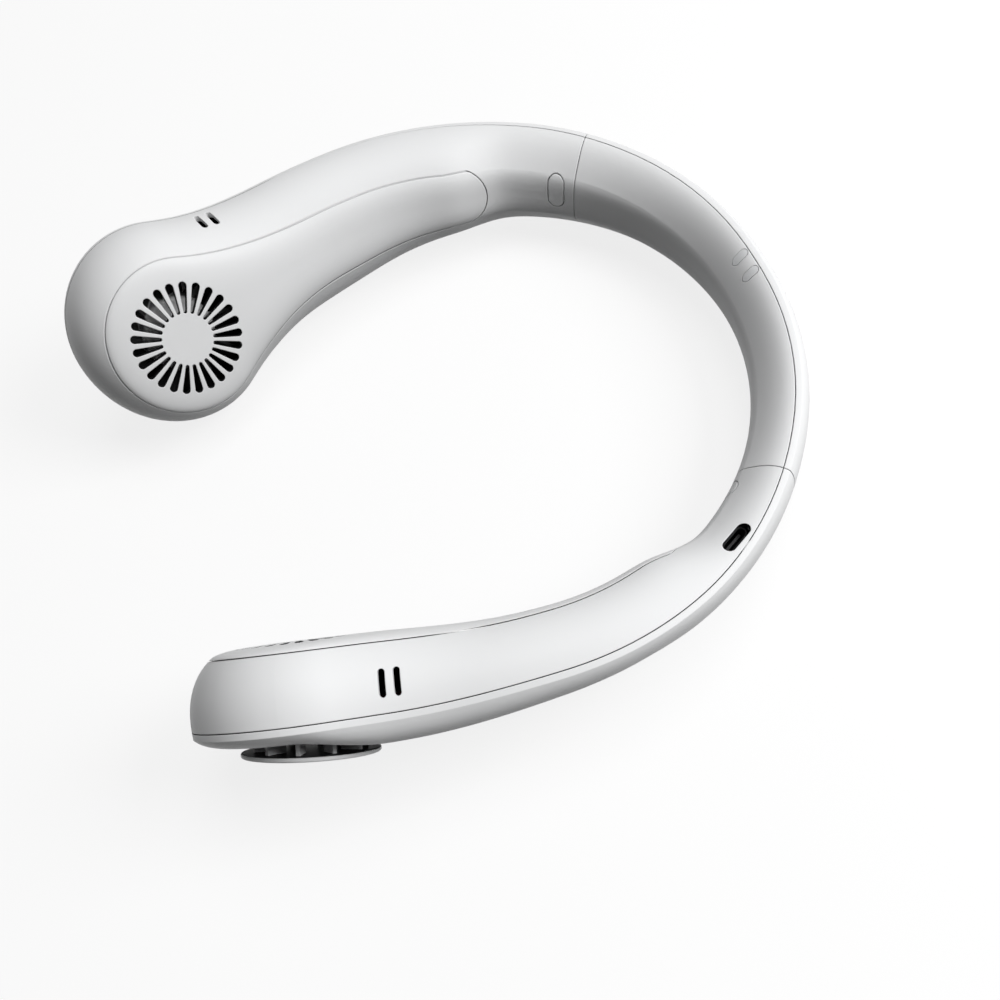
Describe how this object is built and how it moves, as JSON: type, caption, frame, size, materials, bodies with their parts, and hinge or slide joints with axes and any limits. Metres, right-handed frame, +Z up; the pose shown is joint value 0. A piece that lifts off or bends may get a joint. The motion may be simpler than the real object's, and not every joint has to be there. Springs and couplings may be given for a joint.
{
  "type": "electric neck fan",
  "caption": "U-shaped neck fan: hollow arms ending in round fan heads with slotted grilles and raised intake caps, joined by a band behind the neck; buttons and charging port.",
  "frame": {"origin": "under the middle of the object, on the surface it lies on", "axes": "+Z up as it lies on a table, fan heads towards -Y, band towards +Y, charging port on +X"},
  "size_m": [0.198, 0.203, 0.0587],
  "materials": {
    "shell": "semi-gloss white moulding",
    "button": "semi-gloss white moulding",
    "window": "translucent white",
    "impeller": "satin light grey moulding",
    "inner_plastic": "plain grey moulding",
    "steel": "bright steel",
    "spring_steel": "blued strip",
    "core_steel": "stacked sheet",
    "socket_steel": "plated sheet",
    "magnet": "sintered",
    "brass": "turned",
    "copper": "enamelled wire",
    "cell_wrap": "shrink wrap",
    "foam": "foam",
    "dark_plastic": "black moulding",
    "board": "lacquered board",
    "wire": "insulation"
  },
  "bodies": {
    "frame": {"arm_housing_left": "shell", "arm_housing_right": "shell", "band_core": "spring_steel", "band_cover": "shell", "band_housing": "shell", "battery_cell_left": "cell_wrap", "battery_cell_right": "cell_wrap", "battery_pads_left": "foam", "battery_pads_right": "foam", "charge_board": "board", "charge_screws": "steel", "grille_lid_left": "shell", "grille_lid_right": "shell", "intake_cap_left": "shell", "intake_cap_right": "shell", "joint_plug_left": "inner_plastic", "joint_plug_right": "inner_plastic", "motor_leads_left": "wire", "motor_leads_right": "wire", "motor_mount_left": "inner_plastic", "motor_mount_right": "inner_plastic", "motor_screws_left": "steel", "motor_screws_right": "steel", "nape_window_left": "window", "nape_window_right": "window", "outer_cover_left": "shell", "outer_cover_right": "shell", "shaft_sleeve_left": "brass", "shaft_sleeve_right": "brass", "stator_coils_left": "copper", "stator_coils_right": "copper", "stator_left": "core_steel", "stator_right": "core_steel", "switch_board_left": "board", "switch_board_right": "board", "switch_case_left": "dark_plastic", "switch_case_right": "dark_plastic", "switch_screws_left": "steel", "switch_screws_right": "steel", "usb_socket_shell": "socket_steel", "usb_socket_tongue": "dark_plastic", "wire_loom": "wire"},
    "rotor_left": {"impeller_left": "impeller", "rotor_magnet_left": "magnet", "rotor_shaft_left": "steel"},
    "rotor_right": {"impeller_right": "impeller", "rotor_magnet_right": "magnet", "rotor_shaft_right": "steel"},
    "button_left": {"push_button_left": "button", "switch_plunger_left": "dark_plastic"},
    "button_right": {"push_button_right": "button", "switch_plunger_right": "dark_plastic"}
  },
  "joints": [
    {"name": "fan_spin_left", "type": "hinge", "parent": "frame", "child": "rotor_left", "pos_m": [0.0661, -0.07045, 0.03129], "axis": [-0.8629, 0.3084, 0.4003], "continuous": true},
    {"name": "fan_spin_right", "type": "hinge", "parent": "frame", "child": "rotor_right", "pos_m": [-0.0661, -0.07045, 0.03129], "axis": [0.8629, 0.3084, 0.4003], "continuous": true},
    {"name": "button_press_left", "type": "slide", "parent": "frame", "child": "button_left", "axis": [0.7777, 0.5997, -0.1888], "range_m": [0, 0.0004], "stiffness_N_per_m": 2500, "springref_m": -0.0001},
    {"name": "button_press_right", "type": "slide", "parent": "frame", "child": "button_right", "axis": [-0.7777, 0.5997, -0.1888], "range_m": [0, 0.0004], "stiffness_N_per_m": 2500, "springref_m": -0.0001}
  ]
}
